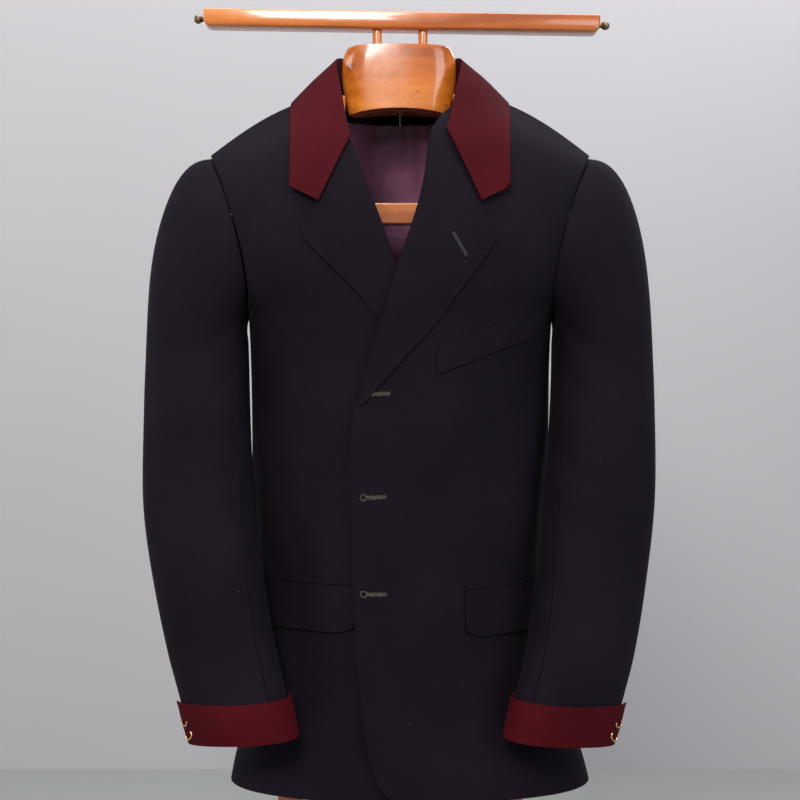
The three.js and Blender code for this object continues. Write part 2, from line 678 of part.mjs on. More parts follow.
// Buttons are sewn on the under front, behind the buttonholes.
const BUTTON_X = -14;
const BUTTON_HEIGHTS = [["top", 742], ["middle", 647], ["bottom", 546]];
const buttonProfile = [[0, 0], [9.6, 0], [10, 0.5], [9.6, 1.4], [7.5, 1.8], [0, 1.6]];
for (const [name, z] of BUTTON_HEIGHTS) {
  const profile = buttonProfile.map(([r, h]) => new THREE.Vector2(r, h));
  const button = add(coat, "button_" + name, new THREE.LatheGeometry(profile, 20), horn);
  const seat = onPanel(panels.right, BUTTON_X, z, 0.7);
  button.position.copy(seat);
  button.rotation.x = Math.PI;
}

// Gilt pins in the cuffs: a wire loop with two shanks, and a short bar across it.
const PIN_WIRE = 0.85;
function wire(points, steps) {
  const shape = new THREE.Shape();
  const ring = spread(0, 2 * Math.PI, 6).slice(0, 6);
  shape.setFromPoints(ring.map((a) => new THREE.Vector2(PIN_WIRE * Math.cos(a), PIN_WIRE * Math.sin(a))));
  const extrudePath = new THREE.CatmullRomCurve3(points, false, "centripetal");
  const body = new THREE.ExtrudeGeometry(shape, { steps, extrudePath, bevelEnabled: false });
  body.deleteAttribute("normal");
  body.deleteAttribute("uv");
  return body;
}
function pinFrame(side, z, turn, lift) {
  const at = sleevePoint(side, z, turn, lift);
  const across = sleevePoint(side, z, turn + 4, lift).sub(sleevePoint(side, z, turn - 4, lift));
  across.z = 0;
  across.normalize().multiplyScalar(-1);
  return { at, across };
}
const PINS = table("z turn slant", [[406, 46, 0], [393, 50, -38]]);
const LOOP = table("u v", [
  [-5.6, 3.2], [-5.6, 0.6], [-4.4, -1.4], [-2, -2],
  [2.4, -2], [4.8, -1.4], [5.8, 0.6], [5.8, 3.2],
]);
for (const [name, side] of SIDES) {
  PINS.forEach((pin, k) => {
    const { at, across } = pinFrame(side, pin.z, pin.turn, 5.9);
    const tilt = THREE.MathUtils.degToRad(pin.slant);
    const place = (u, v) => {
      const right = u * Math.cos(tilt) - v * Math.sin(tilt);
      const up = u * Math.sin(tilt) + v * Math.cos(tilt);
      return at.clone().addScaledVector(across, right).add(vec(0, 0, up));
    };
    const points = LOOP.map((row) => place(row.u, row.v));
    add(coat, "pin_" + name + "_" + (k ? "lower" : "upper"), wire(points, 16), giltWire);
  });
}

// The valet stand, which carries the coat on a hanger between two posts.
function block(group, name, size, at, material = varnishedWood) {
  const mesh = add(group, name, new THREE.BoxGeometry(...size), material);
  mesh.position.set(...at);
  return mesh;
}

// Extrudes a profile with a small bevel and centres its depth.
function board(outline, depth, bevel, segments = 2) {
  const shape = new THREE.Shape(outline);
  const settings = {
    depth: depth - 2 * bevel,
    bevelSize: bevel,
    bevelThickness: bevel,
    bevelSegments: segments,
    bevelOffset: -bevel,
  };
  const body = new THREE.ExtrudeGeometry(shape, { ...settings, steps: 1, curveSegments: 4 });
  body.translate(0, 0, -(depth - 2 * bevel) / 2);
  body.deleteAttribute("normal");
  body.deleteAttribute("uv");
  return body;
}
const flatPoint = (x, y) => new THREE.Vector2(x, y);
function upright(group, name, outline, depth, bevel, at) {
  const mesh = add(group, name, board(outline, depth, bevel), varnishedWood);
  mesh.rotation.x = Math.PI / 2;
  mesh.position.set(...at);
  return mesh;
}

// Trouser bar with rounded lower corners, sloping a little to the wearer's left.
const half = BAR_LENGTH / 2;
const high = BAR_HEIGHT / 2;
const corner = spread(0, Math.PI / 2, 4);
const barOutline = [
  flatPoint(-half, high),
  ...corner.map((a) => flatPoint(-half + 8 * (1 - Math.cos(a)), -high + 8 * (1 - Math.sin(a)))),
  ...corner.map((a) => flatPoint(half - 8 * (1 - Math.sin(a)), -high + 8 * (1 - Math.cos(a)))),
  flatPoint(half, high),
];
const BAR_TILT = 0.016;
const bar = upright(stand, "trouser_bar", barOutline, BAR_DEPTH, 2.5, [2, POST_Y, BAR_Z]);
bar.rotation.set(Math.PI / 2, BAR_TILT, 0, "YXZ");
const KNOB_NECK = [
  [0, 0], [3.2, 0], [2.6, 1.6], [3, 2.4], [4.6, 4.2],
  [5.4, 6.8], [4.6, 9.6], [2.6, 11.4], [0, 12],
];
for (const [name, side] of SIDES) {
  const neck = KNOB_NECK.map(([r, h]) => flatPoint(r, h));
  const knob = add(stand, "knob_" + name, new THREE.LatheGeometry(neck, 16), agedBrass);
  knob.rotation.z = (-side * Math.PI) / 2;
  knob.position.set(2 + side * (half + 0.3), POST_Y, BAR_Z - side * half * BAR_TILT);
}

// Neck block, rounded to the front, on the hanger, with two pegs that carry the trouser bar.
const BLOCK_LOW = 1073;
const BLOCK_HIGH = 1149;
const BLOCK = table("z half", [[1073, 57], [1085, 60], [1105, 64], [1120, 65], [1138, 64], [1149, 58]]);
const blockGrid = (face) =>
  BLOCK.map((row) =>
    spread(-1, 1, 10).map((s) => {
      const bow = 18 * Math.pow(1 - Math.pow(Math.abs(s), 2.4), 1 / 2.4);
      return vec(-1 + row.half * s, POST_Y + face * (4 + bow), row.z);
    }),
  );
add(stand, "neck_block", shell(blockGrid(-1), blockGrid(1)), varnishedWood);
const PEG_LOW = BLOCK_HIGH + 0.3;
const PEG_X = 26;
for (const [name, side] of SIDES) {
  const top = BAR_Z - high - side * PEG_X * BAR_TILT - 0.45;
  const height = top - PEG_LOW;
  const peg = add(stand, "peg_" + name, new THREE.CylinderGeometry(5.4, 5.4, height, 14), varnishedWood);
  peg.rotation.x = Math.PI / 2;
  peg.position.set(side * PEG_X, POST_Y, PEG_LOW + height / 2);
}

// Hanger arms run under the shoulder seams, 5 mm clear of the cloth.
const armLow = [[58.4, 1056], [108, 1031], [141, 1031], [194, 1000]];
const armHigh = [[194, 1012], [158, 1032], [124, 1052], [92, 1072], [70, 1085], [58.4, 1085]];
for (const [name, side] of SIDES) {
  const rise = side > 0 ? 8.9 : 6.9;
  const raised = armHigh.map(([x, z]) => [x, z + rise]);
  const inner = (x) => (x < 60 ? 60.6 - side : x);
  const outline = [...armLow, ...raised].map(([x, z]) => flatPoint(side * inner(x), z - 1030));
  const order = side > 0 ? outline : outline.reverse();
  upright(stand, "hanger_" + name, order, 14, 1.5, [0, -6, 1030]);
}
const CHEST_BAR_Z = 961;
const POST_TOP = 1030.6;
const FOOT_HIGH = 34;
const FOOT_OUTLINE = [
  [-178, 0], [178, 0], [178, 14], [120, 26], [40, FOOT_HIGH],
  [-40, FOOT_HIGH], [-120, 26], [-178, 14],
];
for (const [name, side] of SIDES) {
  const postSize = [POST_SIDE, 24, POST_TOP - FOOT_HIGH - 0.3];
  block(stand, "post_" + name, postSize, [side * POST_X, POST_Y, (POST_TOP + FOOT_HIGH + 0.3) / 2]);
  const foot = FOOT_OUTLINE.map(([y, z]) => flatPoint(y, z));
  const mesh = add(stand, "foot_" + name, board(foot, 38, 2, 1), varnishedWood);
  mesh.rotation.set(Math.PI / 2, 0, Math.PI / 2, "ZXY");
  mesh.position.set(side * POST_X, POST_Y, 0);
}
const between = 2 * POST_X - POST_SIDE - 0.6;
block(stand, "chest_bar", [between, 18, 24], [0, POST_Y, CHEST_BAR_Z]);
block(stand, "base_rail", [between, 20, 40], [0, POST_Y, 130]);

// The origin is the middle of the bounding box's underside.
root.updateMatrixWorld(true);
const box = new THREE.Box3().setFromObject(root, true);
const middle = box.getCenter(vec(0, 0, 0));
root.position.set(-middle.x, -middle.y, -box.min.z);
root.updateMatrixWorld(true);

export default root;
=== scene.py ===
"""A hunting coat on a wooden valet stand: cloth shells, trimmings, varnished wood and studio."""

import logging
import math
from dataclasses import dataclass, field
from enum import Enum
from typing import Callable, Sequence

import bmesh
import bpy
import numpy as np
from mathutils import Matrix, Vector
from mathutils.bvhtree import BVHTree


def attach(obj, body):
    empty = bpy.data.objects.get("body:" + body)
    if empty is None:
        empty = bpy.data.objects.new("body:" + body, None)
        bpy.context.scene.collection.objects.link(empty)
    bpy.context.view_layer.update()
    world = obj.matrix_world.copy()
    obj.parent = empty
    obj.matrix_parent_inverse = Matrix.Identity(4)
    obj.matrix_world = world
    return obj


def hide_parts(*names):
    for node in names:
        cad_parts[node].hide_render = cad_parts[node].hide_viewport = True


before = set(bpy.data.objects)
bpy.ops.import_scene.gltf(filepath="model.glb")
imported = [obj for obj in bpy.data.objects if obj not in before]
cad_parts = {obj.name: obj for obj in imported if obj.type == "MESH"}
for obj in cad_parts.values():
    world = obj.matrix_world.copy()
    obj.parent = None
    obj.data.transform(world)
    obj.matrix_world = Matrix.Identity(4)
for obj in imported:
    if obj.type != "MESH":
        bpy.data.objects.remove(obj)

LOG = logging.getLogger("coat")
MM = 0.001
CAMERA_X = 0.0013
CAMERA_Y = -1.461
CAMERA_Z = 0.75
PICTURE_HEIGHT = 0.84
PICTURE_DISTANCE = 1.35


class Held(Enum):
    """How a sheet of cloth is carried."""

    HUNG = "hung"
    LAID = "laid"
    FOLDED = "folded"


class Grain(Enum):
    """The axis that wood grain runs along."""

    X = (1.0, 14.0, 14.0)
    Y = (14.0, 1.0, 14.0)
    Z = (14.0, 14.0, 1.0)


class Graph:
    """A small builder for a material's nodes."""

    def __init__(self, name: str) -> None:
        """Starts a material with one Principled shader.

        Args:
            name: The material's name.
        """
        self.material = bpy.data.materials.new(name)
        self.material.use_nodes = True
        self.tree = self.material.node_tree
        self.shader = self.tree.nodes["Principled BSDF"]
        self.coords = self.tree.nodes.new("ShaderNodeTexCoord").outputs["Object"]

    def add(self, kind: str, **values: object) -> bpy.types.Node:
        """Adds a node and sets its inputs or links them.

        Args:
            kind: The node's type.
            **values: Socket names with underscores for spaces, or node attributes.

        Returns:
            The new node.
        """
        node = self.tree.nodes.new(kind)
        for key, value in values.items():
            name = key.replace("_", " ").strip()
            if name in node.inputs:
                if isinstance(value, bpy.types.NodeSocket):
                    self.tree.links.new(value, node.inputs[name])
                else:
                    node.inputs[name].default_value = value
            else:
                setattr(node, key, value)
        return node

    def one_sided(self) -> None:
        """Lets the surface be seen from its front alone."""
        turned = self.add("ShaderNodeNewGeometry").outputs["Backfacing"]
        mix = self.add("ShaderNodeMixShader")
        self.tree.links.new(turned, mix.inputs[0])
        self.tree.links.new(self.shader.outputs[0], mix.inputs[1])
        self.tree.links.new(self.add("ShaderNodeBsdfTransparent").outputs[0], mix.inputs[2])
        self.tree.links.new(mix.outputs[0], self.tree.nodes["Material Output"].inputs["Surface"])

    def stretch(self, scale: Sequence[float]) -> bpy.types.NodeSocket:
        """Scales the object coordinates.

        Args:
            scale: Factors along X, Y and Z.

        Returns:
            The scaled coordinates.
        """
        return self.add("ShaderNodeMapping", Vector=self.coords, Scale=tuple(scale)).outputs[0]

    def noise(self, scale: float, detail: float = 3.0, roughness: float = 0.5, at: object = None) -> bpy.types.NodeSocket:
        """Adds noise.

        Args:
            scale: Its scale, per metre.
            detail: Its octaves.
            roughness: How strong the fine octaves are.
            at: The coordinates, or None for the object's own.

        Returns:
            The noise's value.
        """
        made = self.add("ShaderNodeTexNoise", Vector=at or self.coords, Scale=scale, Detail=detail, Roughness=roughness)
        return made.outputs["Fac"]

    def ramp(self, value: bpy.types.NodeSocket, stops: Sequence[tuple[float, Sequence[float]]]) -> bpy.types.NodeSocket:
        """Maps a value through a colour ramp.

        Args:
            value: The value from 0 to 1.
            stops: Positions with their linear RGB colours.

        Returns:
            The colour.
        """
        node = self.add("ShaderNodeValToRGB", Fac=value)
        elements = node.color_ramp.elements
        while len(elements) < len(stops):
            elements.new(0.5)
        for element, (position, colour) in zip(elements, stops):
            element.position = position
            element.color = (*colour, 1.0)
        return node.outputs["Color"]

    def mix(self, factor: object, a: object, b: object, blend: str = "MIX") -> bpy.types.NodeSocket:
        """Mixes two colours.

        Args:
            factor: The share of the second colour.
            a: The first colour.
            b: The second colour.
            blend: The blend type.

        Returns:
            The mixed colour.
        """
        node = self.add("ShaderNodeMix", data_type="RGBA", blend_type=blend)
        for socket, value in zip((node.inputs[0], node.inputs[6], node.inputs[7]), (factor, a, b)):
            if isinstance(value, bpy.types.NodeSocket):
                self.tree.links.new(value, socket)
            elif isinstance(value, (int, float)):
                socket.default_value = value
            else:
                socket.default_value = (*value, 1.0)
        return node.outputs[2]

    def math(self, operation: str, a: object, b: object = 0.0, clamp: bool = False) -> bpy.types.NodeSocket:
        """Adds one sum.

        Args:
            operation: The math node's operation.
            a: The first value.
            b: The second value.
            clamp: Whether the result is kept from 0 to 1.

        Returns:
            The result.
        """
        node = self.add("ShaderNodeMath", operation=operation, use_clamp=clamp)
        for socket, value in zip(node.inputs, (a, b)):
            if isinstance(value, bpy.types.NodeSocket):
                self.tree.links.new(value, socket)
            else:
                socket.default_value = value
        return node.outputs[0]

    def bump(self, *layers: tuple[bpy.types.NodeSocket, float]) -> None:
        """Chains bump layers into the shader.

        Args:
            *layers: Heights with their distances in metres.
        """
        last = None
        for height, distance in layers:
            node = self.add("ShaderNodeBump", Height=height, Distance=distance, Strength=1.0)
            if last is not None:
                self.tree.links.new(last, node.inputs["Normal"])
            last = node.outputs["Normal"]
        self.tree.links.new(last, self.shader.inputs["Normal"])

    def colour(self, value: bpy.types.NodeSocket) -> None:
        """Links the shader's colour.

        Args:
            value: The colour.
        """
        self.tree.links.new(value, self.shader.inputs["Base Color"])

    def rough(self, value: bpy.types.NodeSocket) -> None:
        """Links the shader's roughness.

        Args:
            value: The roughness.
        """
        self.tree.links.new(value, self.shader.inputs["Roughness"])

    def constants(self, **values: object) -> None:
        """Sets constants on the shader's own sockets.

        Args:
            **values: Socket names with underscores for spaces.
        """
        for key, value in values.items():
            self.shader.inputs[key.replace("_", " ")].default_value = value


@dataclass(frozen=True)
class WoolFinish:
    """Milled wool: a fine diagonal weave under a short nap, with specks of lint.

    Attributes:
        name: The material's name.
        dark: The shade in the weave's hollows.
        light: The shade of the nap.
        sheen: How strong the nap's sheen is.
        tint: The sheen's colour.
        lint: How strongly lint shows.
        nap: The nap's height in metres.
    """

    name: str
    dark: tuple[float, float, float]
    light: tuple[float, float, float]
    sheen: float
    tint: tuple[float, float, float]
    lint: float
    nap: float = 0.00016

    def build(self) -> bpy.types.Material:
        """Makes the material.

        Returns:
            The material.
        """
        g = Graph(self.name)
        cloudy = g.noise(9.0, 4.0)
        fibre = g.noise(620.0, 3.0, 0.65)
        shade = g.math("ADD", g.math("MULTIPLY", cloudy, 0.55), g.math("MULTIPLY", fibre, 0.45))
        cloth = g.ramp(shade, [(0.34, self.dark), (0.68, self.light)])
        cells = g.add("ShaderNodeTexVoronoi", Vector=g.coords, Scale=72.0, Randomness=1.0)
        near = g.math("LESS_THAN", cells.outputs["Distance"], 0.035)
        some = g.math("GREATER_THAN", g.noise(41.0, 1.0), 0.6)
        speck = g.math("MULTIPLY", g.math("MULTIPLY", near, some), self.lint)
        g.colour(g.mix(speck, cloth, (0.24, 0.21, 0.2)))
        g.rough(g.math("ADD", g.math("MULTIPLY", fibre, 0.2), 0.72))
        twill = g.add("ShaderNodeTexWave", Vector=g.stretch((1.0, 0.4, 1.0)), Scale=260.0, Distortion=1.2, Detail=1.0)
        twill.bands_direction = "DIAGONAL"
        g.bump((g.noise(70.0, 2.0), 0.0006), (twill.outputs["Fac"], 0.00005), (fibre, self.nap))
        g.constants(Sheen_Weight=self.sheen, Sheen_Roughness=0.42, Sheen_Tint=(*self.tint, 1.0), Specular_IOR_Level=0.07)
        return g.material


@dataclass(frozen=True)
class SatinFinish:
    """Dark satin with a soft gleam and fine crosswise ribs.

    Attributes:
        name: The material's name.
        dark: The deeper shade.
        light: The lighter shade.
    """

    name: str
    dark: tuple[float, float, float]
    light: tuple[float, float, float]

    def build(self) -> bpy.types.Material:
        """Makes the material.

        Returns:
            The material.
        """
        g = Graph(self.name)
        cloudy = g.noise(14.0, 3.0)
        g.colour(g.ramp(cloudy, [(0.35, self.dark), (0.7, self.light)]))
        g.rough(g.math("ADD", g.math("MULTIPLY", cloudy, 0.16), 0.3))
        ribs = g.add("ShaderNodeTexWave", Vector=g.coords, Scale=420.0, Distortion=0.5)
        ribs.bands_direction = "Z"
        g.bump((g.noise(38.0, 3.0), 0.0016), (ribs.outputs["Fac"], 0.00003))
        g.constants(Sheen_Weight=0.3, Sheen_Roughness=0.3, Sheen_Tint=(0.5, 0.38, 0.6, 1.0), Specular_IOR_Level=0.5)
        return g.material


@dataclass(frozen=True)
class WoodFinish:
    """Orange-brown wood under glossy old varnish.

    Attributes:
        name: The material's name.
        grain: The way the grain runs.
        crackle: How strongly the varnish is crazed.
    """

    name: str
    grain: Grain
    crackle: float

    def build(self) -> bpy.types.Material:
        """Makes the material.

        Returns:
            The material.
        """
        g = Graph(self.name)
        long = g.stretch(self.grain.value)
        bands = g.noise(2.6, 5.0, 0.62, long)
        pores = g.noise(26.0, 4.0, 0.7, long)
        wood = g.ramp(bands, [(0.3, (0.30, 0.062, 0.006)), (0.5, (0.52, 0.130, 0.012)), (0.72, (0.70, 0.225, 0.028))])
        flecks = g.math("GREATER_THAN", pores, 0.66)
        worn = g.mix(g.math("MULTIPLY", flecks, 0.35), wood, (0.18, 0.04, 0.006))
        cells = g.add("ShaderNodeTexVoronoi", Vector=g.coords, Scale=150.0, feature="DISTANCE_TO_EDGE")
        crack = g.math("LESS_THAN", cells.outputs["Distance"], 0.016)
        patchy = g.math("GREATER_THAN", g.noise(24.0, 2.0), 0.5)
        crazed = g.math("MULTIPLY", g.math("MULTIPLY", crack, patchy), self.crackle)
        g.colour(g.mix(crazed, worn, (0.09, 0.028, 0.01)))
        g.rough(g.math("ADD", g.math("MULTIPLY", g.noise(60.0, 3.0), 0.14), 0.2))
        g.bump((g.noise(16.0, 2.0), 0.0009), (pores, 0.00008), (g.math("SUBTRACT", 1.0, crazed), 0.00012))
        g.constants(Coat_Weight=0.85, Coat_Roughness=0.09, Coat_IOR=1.5, Specular_IOR_Level=0.5)
        return g.material


@dataclass(frozen=True)
class MetalFinish:
    """Aged or bright metal with rubbed high spots.

    Attributes:
        name: The material's name.
        low: The shade in the hollows.
        high: The shade where it is rubbed.
        roughness: Its mean roughness.
    """

    name: str
    low: tuple[float, float, float]
    high: tuple[float, float, float]
    roughness: float

    def build(self) -> bpy.types.Material:
        """Makes the material.

        Returns:
            The material.
        """
        g = Graph(self.name)
        wear = g.noise(260.0, 4.0, 0.6)
        g.colour(g.ramp(wear, [(0.38, self.low), (0.62, self.high)]))
        g.rough(g.math("ADD", g.math("MULTIPLY", wear, 0.24), self.roughness))
        g.bump((g.noise(900.0, 3.0), 0.00004))
        g.constants(Metallic=0.95)
        return g.material


@dataclass(frozen=True)
class ThreadFinish:
    """Twisted sewing thread.

    Attributes:
        name: The material's name.
        dark: The shade in the twist.
        light: The shade of the thread.
    """

    name: str
    dark: tuple[float, float, float]
    light: tuple[float, float, float]

    def build(self) -> bpy.types.Material:
        """Makes the material.

        Returns:
            The material.
        """
        g = Graph(self.name)
        twist = g.noise(900.0, 3.0, 0.7)
        g.colour(g.ramp(twist, [(0.35, self.dark), (0.65, self.light)]))
        g.rough(g.math("ADD", g.math("MULTIPLY", twist, 0.2), 0.6))
        g.bump((twist, 0.0001))
        g.constants(Sheen_Weight=0.3, Sheen_Roughness=0.4)
        return g.material


@dataclass(frozen=True)
class StageFinish:
    """Plain pale paint for the floor and the wall behind.

    Attributes:
        name: The material's name.
        colour: Its colour.
    """

    name: str
    colour: tuple[float, float, float]

    def build(self) -> bpy.types.Material:
        """Makes the material.

        Returns:
            The material.
        """
        g = Graph(self.name)
        low = tuple(0.96 * c for c in self.colour)
        g.colour(g.ramp(g.noise(1.5, 3.0), [(0.3, low), (0.7, self.colour)]))
        g.constants(Roughness=0.9, Specular_IOR_Level=0.2)
        g.one_sided()
        return g.material


@dataclass(frozen=True)
class Fold:
    """One soft trough or ridge in the cloth.

    Attributes:
        path: Its line as (x, y, z) points in millimetres.
        rise: Its height in millimetres, negative for a trough.
        width: Its half width in millimetres.
    """

    path: tuple[tuple[float, float, float], ...]
    rise: float
    width: float

    def height(self, points: np.ndarray) -> np.ndarray:
        """Works out how far points are raised.

        Args:
            points: Points in metres, one per row.

        Returns:
            The height of the fold at each, in metres.
        """
        total = np.zeros(len(points))
        line = np.array(self.path) * MM
        count = len(line) - 1
        for k, (a, b) in enumerate(zip(line[:-1], line[1:])):
            step = b - a
            share = np.clip((points - a) @ step / (step @ step), 0.0, 1.0)
            away = np.linalg.norm(points - a - share[:, None] * step, axis=1)
            along = (k + share) / count
            fade = np.sin(np.pi * (0.08 + 0.84 * along)) ** 0.7
            total = np.maximum(total, fade * np.exp(-((away / (self.width * MM)) ** 2)))
        return total * self.rise * MM


def mirrored(folds: Sequence[Fold], shift: float = 1.0) -> list[Fold]:
    """Repeats folds on the other side of the coat, a little unlike the first.

    Args:
        folds: The folds of one side.
        shift: A factor on their height.

    Returns:
        The other side's folds.
    """
    return [
        Fold(tuple((-x - 3 * (k % 2), y, z + 7 - 5 * (k % 3)) for x, y, z in f.path), f.rise * shift, f.width * (0.9 + 0.08 * (k % 4)))
        for k, f in enumerate(folds)
    ]


BODY_RIGHT = [
    Fold(((-60, -103, 735), (-66, -103, 600), (-62, -104, 430)), -2.6, 9),
    Fold(((-84, -96, 640), (-88, -96, 520), (-80, -98, 380)), 1.6, 15),
    Fold(((-112, -80, 620), (-116, -80, 480), (-118, -86, 345)), -3.0, 13),
    Fold(((-140, -62, 500), (-146, -64, 340)), 3.0, 14),
    Fold(((-162, -62, 862), (-138, -84, 815), (-118, -92, 760)), -2.4, 11),
    Fold(((-158, -70, 905), (-128, -92, 862)), -1.8, 9),
    Fold(((-172, -46, 960), (-140, -78, 930), (-118, -90, 880)), 1.6, 13),
    Fold(((-176, -10, 700), (-158, 0, 560), (-170, 0, 420)), -3.5, 18),
]
BODY_LEFT = [
    Fold(((-34, -112, 560), (-30, -113, 440), (-18, -112, 340)), 1.8, 14),
    Fold(((10, -112, 700), (14, -112, 560)), -1.4, 16),
    Fold(((58, -104, 520), (66, -104, 420), (76, -104, 335)), -2.8, 14),
    Fold(((100, -90, 500), (108, -92, 340)), 2.6, 15),
    Fold(((60, -106, 760), (52, -108, 690)), 1.4, 14),
]
BACK = [
    Fold(((60, 86, 720), (66, 82, 600), (78, 92, 360)), -3.4, 15),
    Fold(((112, 62, 640), (120, 66, 420)), 3.0, 15),
    Fold(((150, 60, 880), (110, 84, 820), (88, 88, 760)), -2.8, 12),
    Fold(((30, 92, 860), (26, 86, 700)), 1.8, 17),
    Fold(((160, 56, 930), (126, 80, 900)), -1.6, 10),
]
SLEEVE = [
    Fold(((-262, -40, 870), (-270, -46, 760), (-268, -66, 640), (-258, -86, 540)), 2.4, 12),
    Fold(((-180, -60, 830), (-206, -76, 806), (-232, -74, 796)), -2.4, 8),
    Fold(((-176, -58, 790), (-200, -78, 752)), -1.8, 9),
    Fold(((-166, -64, 690), (-190, -84, 664), (-220, -92, 652)), -1.9, 9),
    Fold(((-160, -74, 640), (-186, -94, 618), (-206, -100, 612)), -2.1, 9),
    Fold(((-156, -84, 600), (-184, -102, 566)), 1.7, 10),
    Fold(((-262, 10, 640), (-240, 34, 610), (-206, 40, 600)), -2.2, 12),
    Fold(((-250, -80, 470), (-226, -104, 452), (-196, -116, 446)), 1.2, 11),
    Fold(((-136, -110, 520), (-158, -112, 490)), -1.5, 9),
    Fold(((-270, -20, 960), (-282, -16, 860)), 1.4, 16),
]
LINING_FOLDS = [
    Fold(((7, 60, 1072), (8, 78, 960), (8, 84, 850)), -1.5, 3),
    Fold(((-46, 62, 1050), (-40, 78, 950), (-44, 82, 860)), 1.8, 9),
    Fold(((44, 62, 1050), (40, 78, 950), (42, 82, 860)), 1.5, 8),
]
BODY_FOLDS = BODY_RIGHT + BODY_LEFT + BACK + mirrored(BACK, 0.85) + mirrored(BODY_RIGHT[3:], 0.8)
SLEEVE_FOLDS = SLEEVE + mirrored(SLEEVE, 0.92)


def unevenness(points: np.ndarray, seed: float) -> np.ndarray:
    """A slow wavering of hung cloth from a few crossed waves.

    Args:
        points: Points in metres.
        seed: Shifts the waves.

    Returns:
        Heights in metres, within about a millimetre.
    """
    waves = np.array([[31, 11, 9], [-17, 23, 14], [9, -13, 37], [47, 21, -19], [-29, 41, 27]])
    total = np.zeros(len(points))
    for k, wave in enumerate(waves):
        total += np.sin(points @ wave + seed * (k + 1) * 1.7) / (k + 2)
    return total * 0.0007


def refined(node: str, name: str, levels: int, hard_angle: float = 48.0) -> bpy.types.Object:
    """Makes a finer copy of a node, with its hard edges kept.

    Args:
        node: The node's name.
        name: The new piece's name.
        levels: How often its faces are divided.
        hard_angle: Edges past this angle in degrees stay hard.

    Returns:
        The new piece.
    """
    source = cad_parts[node]
    body = bmesh.new()
    body.from_mesh(source.data)
    bmesh.ops.remove_doubles(body, verts=body.verts, dist=0.00002)
    bmesh.ops.join_triangles(body, faces=body.faces, angle_face_threshold=0.6, angle_shape_threshold=1.6)
    layer = body.edges.layers.float.get("crease_edge") or body.edges.layers.float.new("crease_edge")
    for edge in body.edges:
        if len(edge.link_faces) == 2 and edge.calc_face_angle(0.0) > math.radians(hard_angle):
            edge[layer] = 1.0
    mesh = bpy.data.meshes.new(name)
    body.to_mesh(mesh)
    body.free()
    piece = bpy.data.objects.new(name, mesh)
    bpy.context.scene.collection.objects.link(piece)
    if levels:
        modifier = piece.modifiers.new("finer", "SUBSURF")
        modifier.levels = modifier.render_levels = levels
        graph = bpy.context.evaluated_depsgraph_get()
        fine = bpy.data.meshes.new_from_object(piece.evaluated_get(graph))
        piece.modifiers.clear()
        piece.data = fine
    piece.data.materials.clear()
    smooth(piece, 40.0)
    return piece


def smooth(piece: bpy.types.Object, angle: float) -> None:
    """Shades a piece smooth but for its sharp edges.

    Args:
        piece: The piece.
        angle: Edges past this angle in degrees stay sharp.
    """
    piece.data.polygons.foreach_set("use_smooth", [True] * len(piece.data.polygons))
    piece.data.set_sharp_from_angle(angle=math.radians(angle))


def coordinates(piece: bpy.types.Object) -> np.ndarray:
    """Reads a piece's vertices.

    Args:
        piece: The piece.

    Returns:
        Its vertices in metres, one per row.
    """
    flat = np.empty(len(piece.data.vertices) * 3)
    piece.data.vertices.foreach_get("co", flat)
    return flat.reshape(-1, 3)


def finish_piece(piece: bpy.types.Object, material: bpy.types.Material, slot: str, *nodes: str) -> None:
    """Gives a piece its material, body and nodes.

    Args:
        piece: The piece.
        material: Its material.
        slot: Not used.
        *nodes: The nodes that it stands for.
    """
    piece.data.materials.clear()
    piece.data.materials.append(material)
    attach(piece, "root")
    if nodes:
        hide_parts(*nodes)
    LOG.info("%s: %d faces", piece.name, len(piece.data.polygons))


@dataclass
class ClothPiece:
    """One cut piece of the coat, as a thin shell with its folds.

    Attributes:
        node: The node that it stands for.
        flat: The width and length that it was cut to, in metres.
        area: The cut's area in square metres.
        held: How it is carried.
        rests_on: What it hangs from or lies on.
        folds: The folds that shape it.
        centre: The upright axis that its folds point away from, as x and y in metres.
        levels: How often its faces are divided.
        shell: The finished piece.
    """

    node: str
    flat: tuple[float, float]
    area: float
    held: Held
    rests_on: tuple[str, ...]
    folds: Sequence[Fold]
    centre: tuple[float, float] = (0.0, 0.0)
    levels: int = 2
    shell: bpy.types.Object | None = field(default=None, init=False)

    def build(self, material: bpy.types.Material, slot: str, with_pieces: Sequence[bpy.types.Object] = ()) -> bpy.types.Object:
        """Args:
            material: Its finish.
            slot: The record's slot for it.
            with_pieces: Not used.

        Returns:
            The shell.
        """
        piece = refined(self.node, self.node + "_cloth", self.levels)
        points = coordinates(piece)
        away = points - np.array([*self.centre, 0.0])
        away[:, 2] = 0.0
        away /= np.maximum(np.linalg.norm(away, axis=1), 1e-6)[:, None]
        height = unevenness(points, 1.0)
        for fold in self.folds:
            height += fold.height(points)
        calm = np.clip((1.02 - points[:, 2]) / 0.12, 0.15, 1.0)
        piece.data.vertices.foreach_set("co", (points + away * (height * calm)[:, None]).ravel())
        piece.data.update()
        finish_piece(piece, material, slot, self.node)
        self.shell = piece
        return piece

    def surface(self) -> Callable[[float, float], tuple[Vector, Vector]]:
        """Finds points on the front of the shell.

        Returns:
            A function from x and z in metres to a point and its outward way.
        """
        tree = BVHTree.FromPolygons([v.co for v in self.shell.data.vertices], [p.vertices for p in self.shell.data.polygons])

        def at(x: float, z: float) -> tuple[Vector, Vector]:
            """Looks onto the shell from the front.

            Args:
                x: Sideways place in metres.
                z: Height in metres.

            Returns:
                The point and its outward way.
            """
            hit, normal, _, _ = tree.ray_cast(Vector((x, -1.0, z)), Vector((0, 1, 0)))
            if hit is None:
                hit, normal, _, _ = tree.find_nearest(Vector((x, -0.12, z)))
            return hit, normal if normal.y < 0 else -normal

        return at


